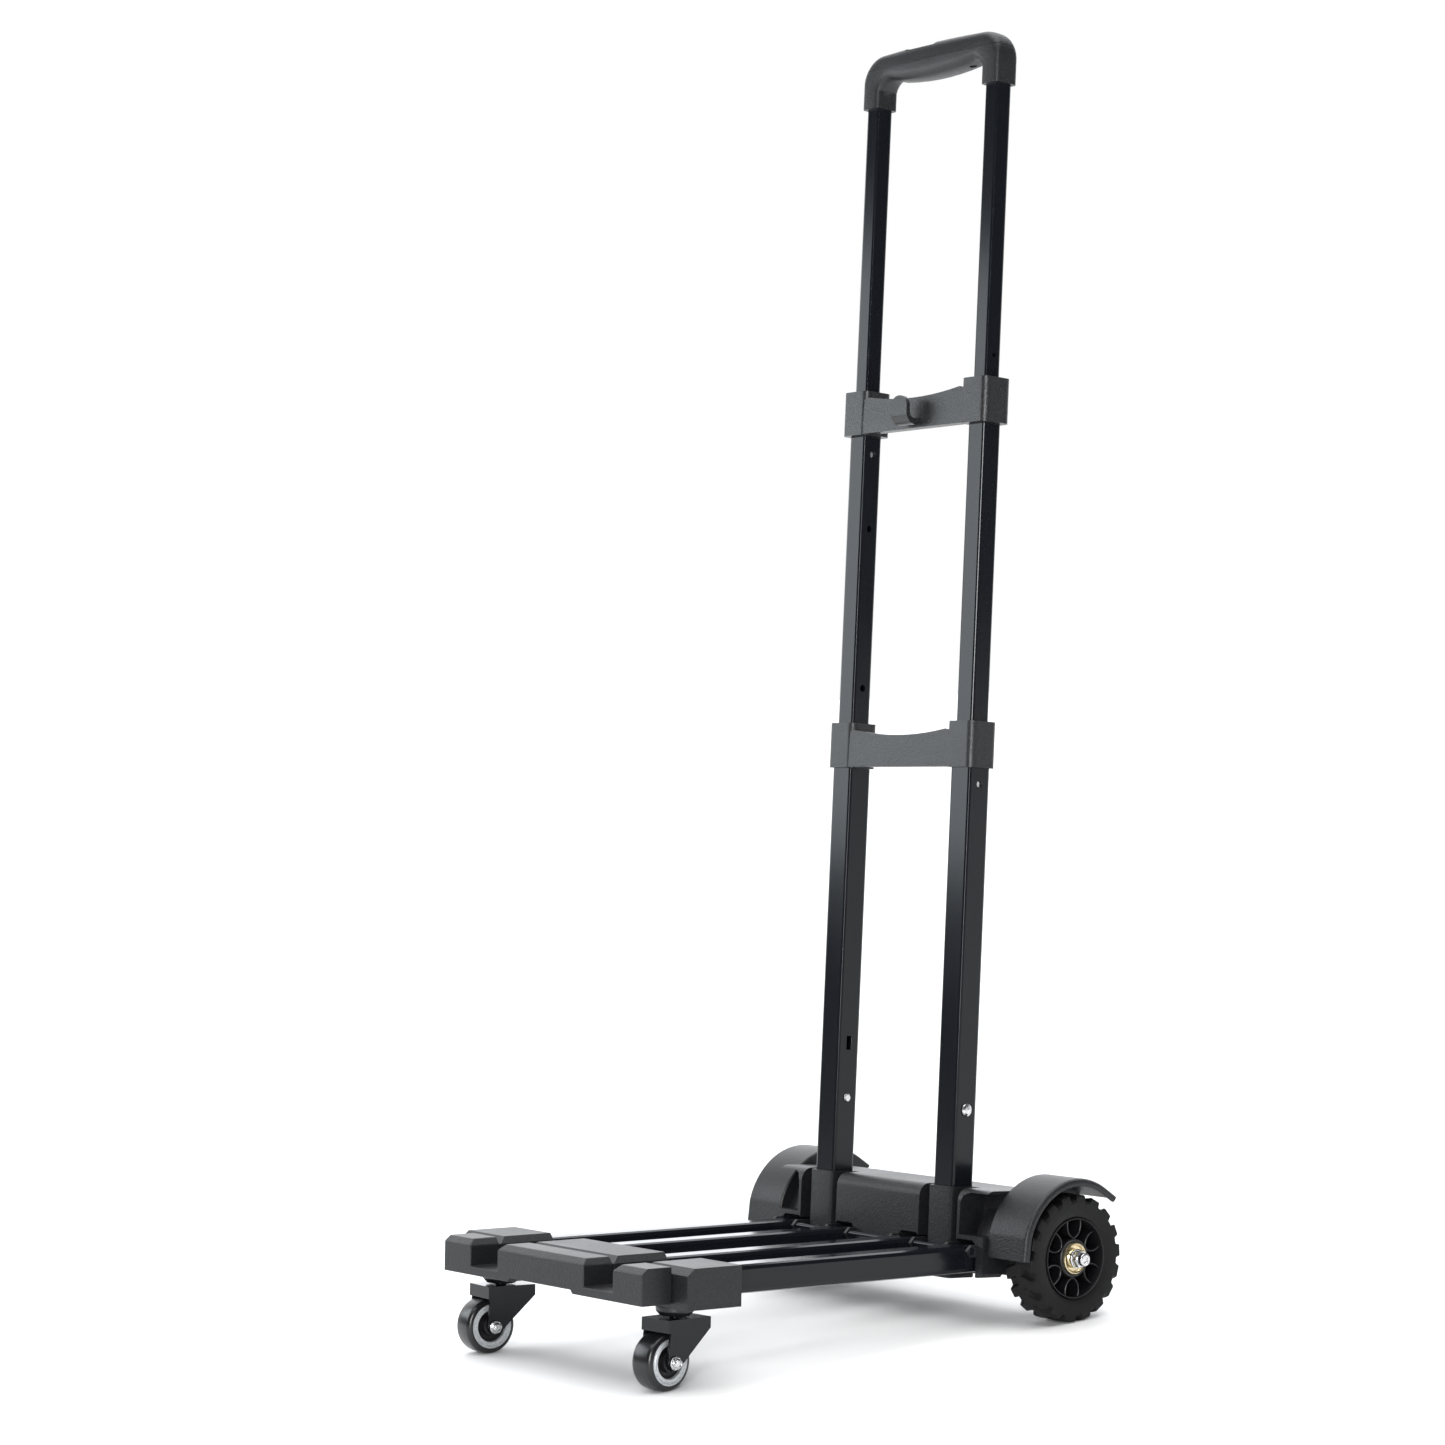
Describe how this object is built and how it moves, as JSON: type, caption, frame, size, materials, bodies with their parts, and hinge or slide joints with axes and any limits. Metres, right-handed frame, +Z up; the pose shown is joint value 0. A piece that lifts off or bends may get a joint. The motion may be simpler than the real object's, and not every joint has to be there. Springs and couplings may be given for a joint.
{
  "type": "folding luggage cart",
  "caption": "Folding black luggage cart with a telescopic twin-tube handle, slatted tube platform, front swivel casters and treaded rear wheels.",
  "frame": {"origin": "on the ground under the middle of the cart, midway between the two uprights", "axes": "+Z up, front of the platform is -Y, +X is the right-hand side seen from behind the handle"},
  "size_m": [0.3476, 0.4634, 1.0072],
  "materials": {
    "grained_plastic": "fine-grained, dull black moulding",
    "satin_plastic": "satin black moulding",
    "black_paint": "gloss black paint",
    "zinc_steel": "bright zinc-plated steel",
    "tyre_rubber": "matte black rubber",
    "roller_tread": "smooth satin black tread",
    "rim_plastic": "satin black moulding",
    "gold_zinc": "yellow-zinc pressed ring",
    "grey_disc": "satin grey disc"
  },
  "bodies": {
    "chassis": {"axle_housing": "grained_plastic", "housing_bottom_cover": "grained_plastic", "fender_left": "grained_plastic", "fender_right": "grained_plastic", "rear_axle": "zinc_steel", "axle_nut_left": "zinc_steel", "axle_nut_right": "zinc_steel", "lower_tube_left": "black_paint", "lower_tube_right": "black_paint", "lower_clamp": "satin_plastic", "tube_rivet_left": "zinc_steel", "tube_rivet_right": "zinc_steel", "platform_hinge_pin": "black_paint"},
    "platform": {"platform_tube_1": "black_paint", "platform_tube_2": "black_paint", "platform_tube_3": "black_paint", "platform_tube_4": "black_paint", "front_block": "grained_plastic", "caster_mount_left": "satin_plastic", "caster_mount_right": "satin_plastic"},
    "platform_extension": {"front_bar": "grained_plastic", "slide_tube_left": "black_paint", "slide_tube_right": "black_paint"},
    "mid_stage": {"mid_tube_left": "black_paint", "mid_tube_right": "black_paint", "upper_clamp": "satin_plastic", "mid_plug_left": "satin_plastic", "mid_plug_right": "satin_plastic"},
    "top_stage": {"upper_tube_left": "black_paint", "upper_tube_right": "black_paint", "grip_lower_shell": "grained_plastic", "grip_upper_shell": "grained_plastic", "upper_plug_left": "satin_plastic", "upper_plug_right": "satin_plastic"},
    "release_linkage": {"release_button": "satin_plastic", "release_yoke": "zinc_steel", "push_rod_left": "zinc_steel", "push_rod_right": "zinc_steel"},
    "rear_wheel_left": {"rear_tyre_left": "tyre_rubber", "rear_rim_left": "rim_plastic", "hub_bearing_left": "gold_zinc"},
    "caster_fork_left": {"caster_fork_left": "black_paint", "caster_bolt_left": "zinc_steel", "caster_nut_left": "zinc_steel"},
    "caster_wheel_left": {"roller_tyre_left": "roller_tread", "roller_hub_left": "grey_disc"},
    "mid_pin_left": {"mid_lock_pin_left": "zinc_steel"},
    "upper_pin_left": {"upper_lock_pin_left": "zinc_steel"},
    "rear_wheel_right": {"rear_tyre_right": "tyre_rubber", "rear_rim_right": "rim_plastic", "hub_bearing_right": "gold_zinc"},
    "caster_fork_right": {"caster_fork_right": "black_paint", "caster_bolt_right": "zinc_steel", "caster_nut_right": "zinc_steel"},
    "caster_wheel_right": {"roller_tyre_right": "roller_tread", "roller_hub_right": "grey_disc"},
    "mid_pin_right": {"mid_lock_pin_right": "zinc_steel"},
    "upper_pin_right": {"upper_lock_pin_right": "zinc_steel"}
  },
  "joints": [
    {"name": "platform_fold", "type": "hinge", "parent": "chassis", "child": "platform", "pos_m": [0, 0.09137, 0.05802], "axis": [-1, 0, 0], "range_deg": [0, 92.06]},
    {"name": "platform_extend", "type": "slide", "parent": "platform", "child": "platform_extension", "axis": [0, -0.9971, 0.076], "range_m": [0, 0.1]},
    {"name": "mid_stage_slide", "type": "slide", "parent": "chassis", "child": "mid_stage", "axis": [0, 0.1118, 0.9937], "range_m": [-0.234, 0]},
    {"name": "top_stage_slide", "type": "slide", "parent": "mid_stage", "child": "top_stage", "axis": [0, 0.1118, 0.9937], "range_m": [-0.234, 0]},
    {"name": "release_press", "type": "slide", "parent": "top_stage", "child": "release_linkage", "axis": [0, -0.1118, -0.9937], "range_m": [0, 0.003], "stiffness_N_per_m": 1500, "springref_m": -0.003},
    {"name": "caster_swivel_left", "type": "hinge", "parent": "platform", "child": "caster_fork_left", "pos_m": [-0.106, -0.18974, 0.05809], "axis": [0, 0.076, 0.9971], "continuous": true},
    {"name": "caster_roll_left", "type": "hinge", "parent": "caster_fork_left", "child": "caster_wheel_left", "pos_m": [-0.10713, -0.20558, 0.0207], "axis": [0.9962, -0.0869, 0.0066], "continuous": true},
    {"name": "rear_wheel_roll_left", "type": "hinge", "parent": "chassis", "child": "rear_wheel_left", "pos_m": [-0.149, 0.15622, 0.0486], "axis": [1, 0, 0], "continuous": true},
    {"name": "mid_pin_retract_left", "type": "slide", "parent": "mid_stage", "child": "mid_pin_left", "axis": [1, 0, 0], "range_m": [0, 0.003], "stiffness_N_per_m": 800, "springref_m": -0.002},
    {"name": "upper_pin_retract_left", "type": "slide", "parent": "top_stage", "child": "upper_pin_left", "axis": [-1, 0, 0], "range_m": [0, 0.003]},
    {"name": "caster_swivel_right", "type": "hinge", "parent": "platform", "child": "caster_fork_right", "pos_m": [0.106, -0.18974, 0.05809], "axis": [0, 0.076, 0.9971], "continuous": true},
    {"name": "caster_roll_right", "type": "hinge", "parent": "caster_fork_right", "child": "caster_wheel_right", "pos_m": [0.10713, -0.20558, 0.0207], "axis": [0.9962, 0.0869, -0.0066], "continuous": true},
    {"name": "rear_wheel_roll_right", "type": "hinge", "parent": "chassis", "child": "rear_wheel_right", "pos_m": [0.149, 0.15622, 0.0486], "axis": [1, 0, 0], "continuous": true},
    {"name": "mid_pin_retract_right", "type": "slide", "parent": "mid_stage", "child": "mid_pin_right", "axis": [-1, 0, 0], "range_m": [0, 0.003], "stiffness_N_per_m": 800, "springref_m": -0.002},
    {"name": "upper_pin_retract_right", "type": "slide", "parent": "top_stage", "child": "upper_pin_right", "axis": [1, 0, 0], "range_m": [0, 0.003]}
  ],
  "couplings": [
    {"joint": "upper_pin_retract_left", "follows": "release_press", "ratio": 1},
    {"joint": "upper_pin_retract_right", "follows": "release_press", "ratio": 1}
  ]
}
